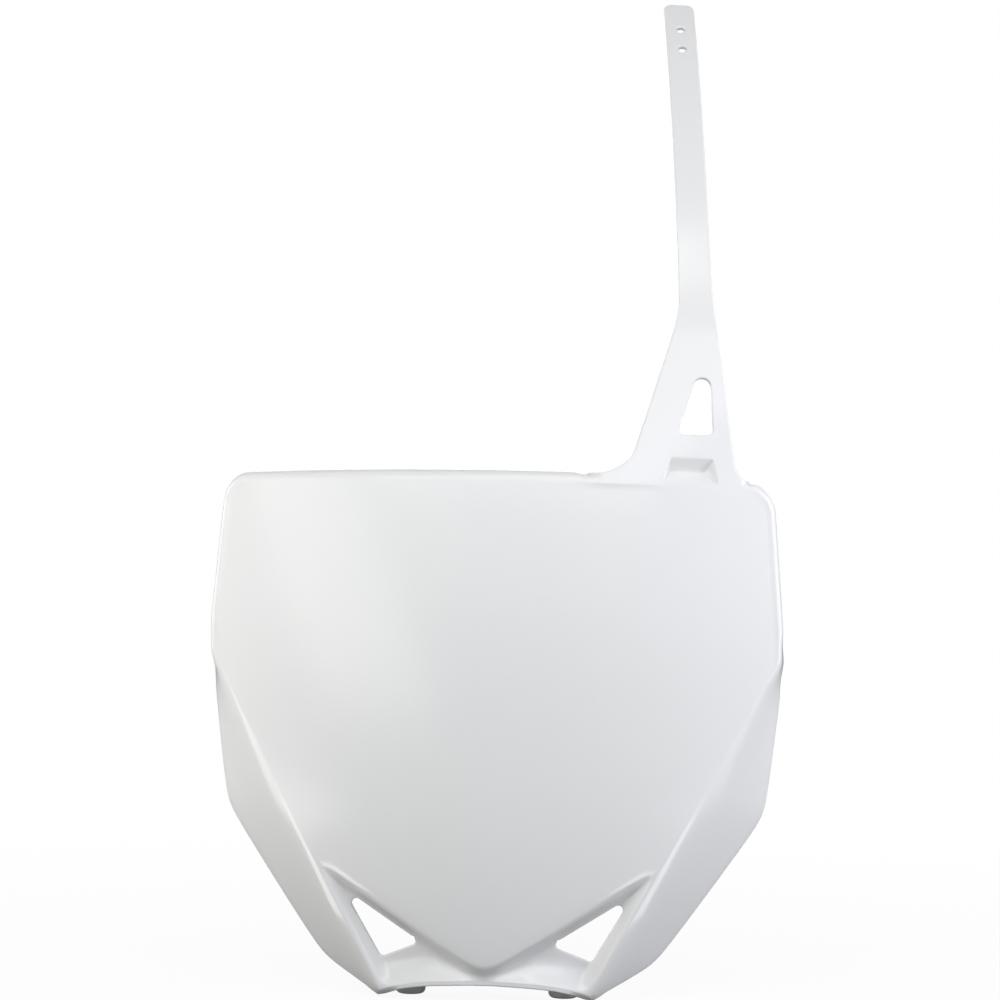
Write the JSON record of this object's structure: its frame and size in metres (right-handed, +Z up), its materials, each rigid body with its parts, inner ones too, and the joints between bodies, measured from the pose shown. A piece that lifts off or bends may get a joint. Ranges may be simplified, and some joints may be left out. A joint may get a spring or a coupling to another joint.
{
  "type": "motorcycle front number board",
  "caption": "One-piece moulded front number board for a motocross bike: bowed shield face, folded side wings, two locating pegs at the foot and a long flexible strap at the top.",
  "frame": {"origin": "midway between the two locating pegs, on the underside of the shelf they stand out of, which is the seat they locate against", "axes": "+X to the right as seen from the front, +Y to the rear of the board, away from the viewer of the face, +Z up"},
  "size_m": [0.24, 0.125, 0.4242],
  "materials": {
    "white_plastic": "gloss"
  },
  "bodies": {
    "root": {"number_board": "white_plastic"}
  },
  "joints": []
}
